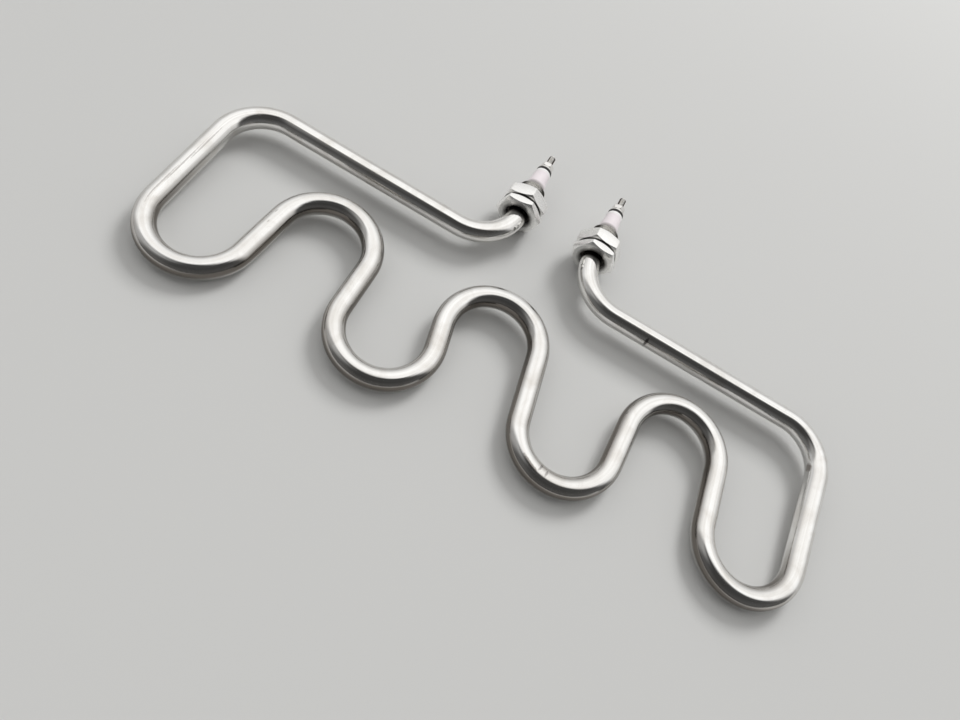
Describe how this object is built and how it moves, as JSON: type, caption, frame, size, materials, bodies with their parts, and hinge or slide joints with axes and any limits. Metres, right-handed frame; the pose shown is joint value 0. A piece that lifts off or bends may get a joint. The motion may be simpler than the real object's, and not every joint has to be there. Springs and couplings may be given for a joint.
{
  "type": "tubular heating element",
  "caption": "Steel-sheathed tube bent into flat serpentine loops, with threaded wall fittings, ceramic insulators and screw terminals at its ends.",
  "frame": {"origin": "midway between the axes of the two threaded sleeves, on the wall face that the gaskets seal against", "axes": "+Y out through the wall to the terminals, +X from the left fitting to the right along the element's length, +Z normal to the plane of the bent tube"},
  "size_m": [0.383, 0.19, 0.0272],
  "materials": {
    "sheath_steel": "bright drawn stainless tube, lightly streaked along its length",
    "fitting_steel": "turned bright stainless",
    "terminal_steel": "bright stainless",
    "pin_steel": "plated steel pin, rolled thread",
    "insulator_ceramic": "fired steatite, faintly pink",
    "magnesia_powder": "packed powder",
    "coil_alloy": "drawn nickel-chrome wire",
    "sealing_resin": "cast silicone resin",
    "gasket_rubber": "black"
  },
  "bodies": {
    "root": {"sheath_tube": "sheath_steel", "magnesia_fill": "magnesia_powder", "resistance_coil": "coil_alloy", "left_terminal_pin": "pin_steel", "left_end_seal": "sealing_resin", "left_threaded_sleeve": "fitting_steel", "left_inner_nut": "fitting_steel", "left_sealing_gasket": "gasket_rubber", "left_outer_nut": "fitting_steel", "left_ceramic_insulator": "insulator_ceramic", "left_pin_seal_ring": "gasket_rubber", "left_flat_washer": "terminal_steel", "left_spring_washer": "terminal_steel", "left_terminal_nut": "terminal_steel", "right_terminal_pin": "pin_steel", "right_end_seal": "sealing_resin", "right_threaded_sleeve": "fitting_steel", "right_inner_nut": "fitting_steel", "right_sealing_gasket": "gasket_rubber", "right_outer_nut": "fitting_steel", "right_ceramic_insulator": "insulator_ceramic", "right_pin_seal_ring": "gasket_rubber", "right_flat_washer": "terminal_steel", "right_spring_washer": "terminal_steel", "right_terminal_nut": "terminal_steel"}
  },
  "joints": []
}
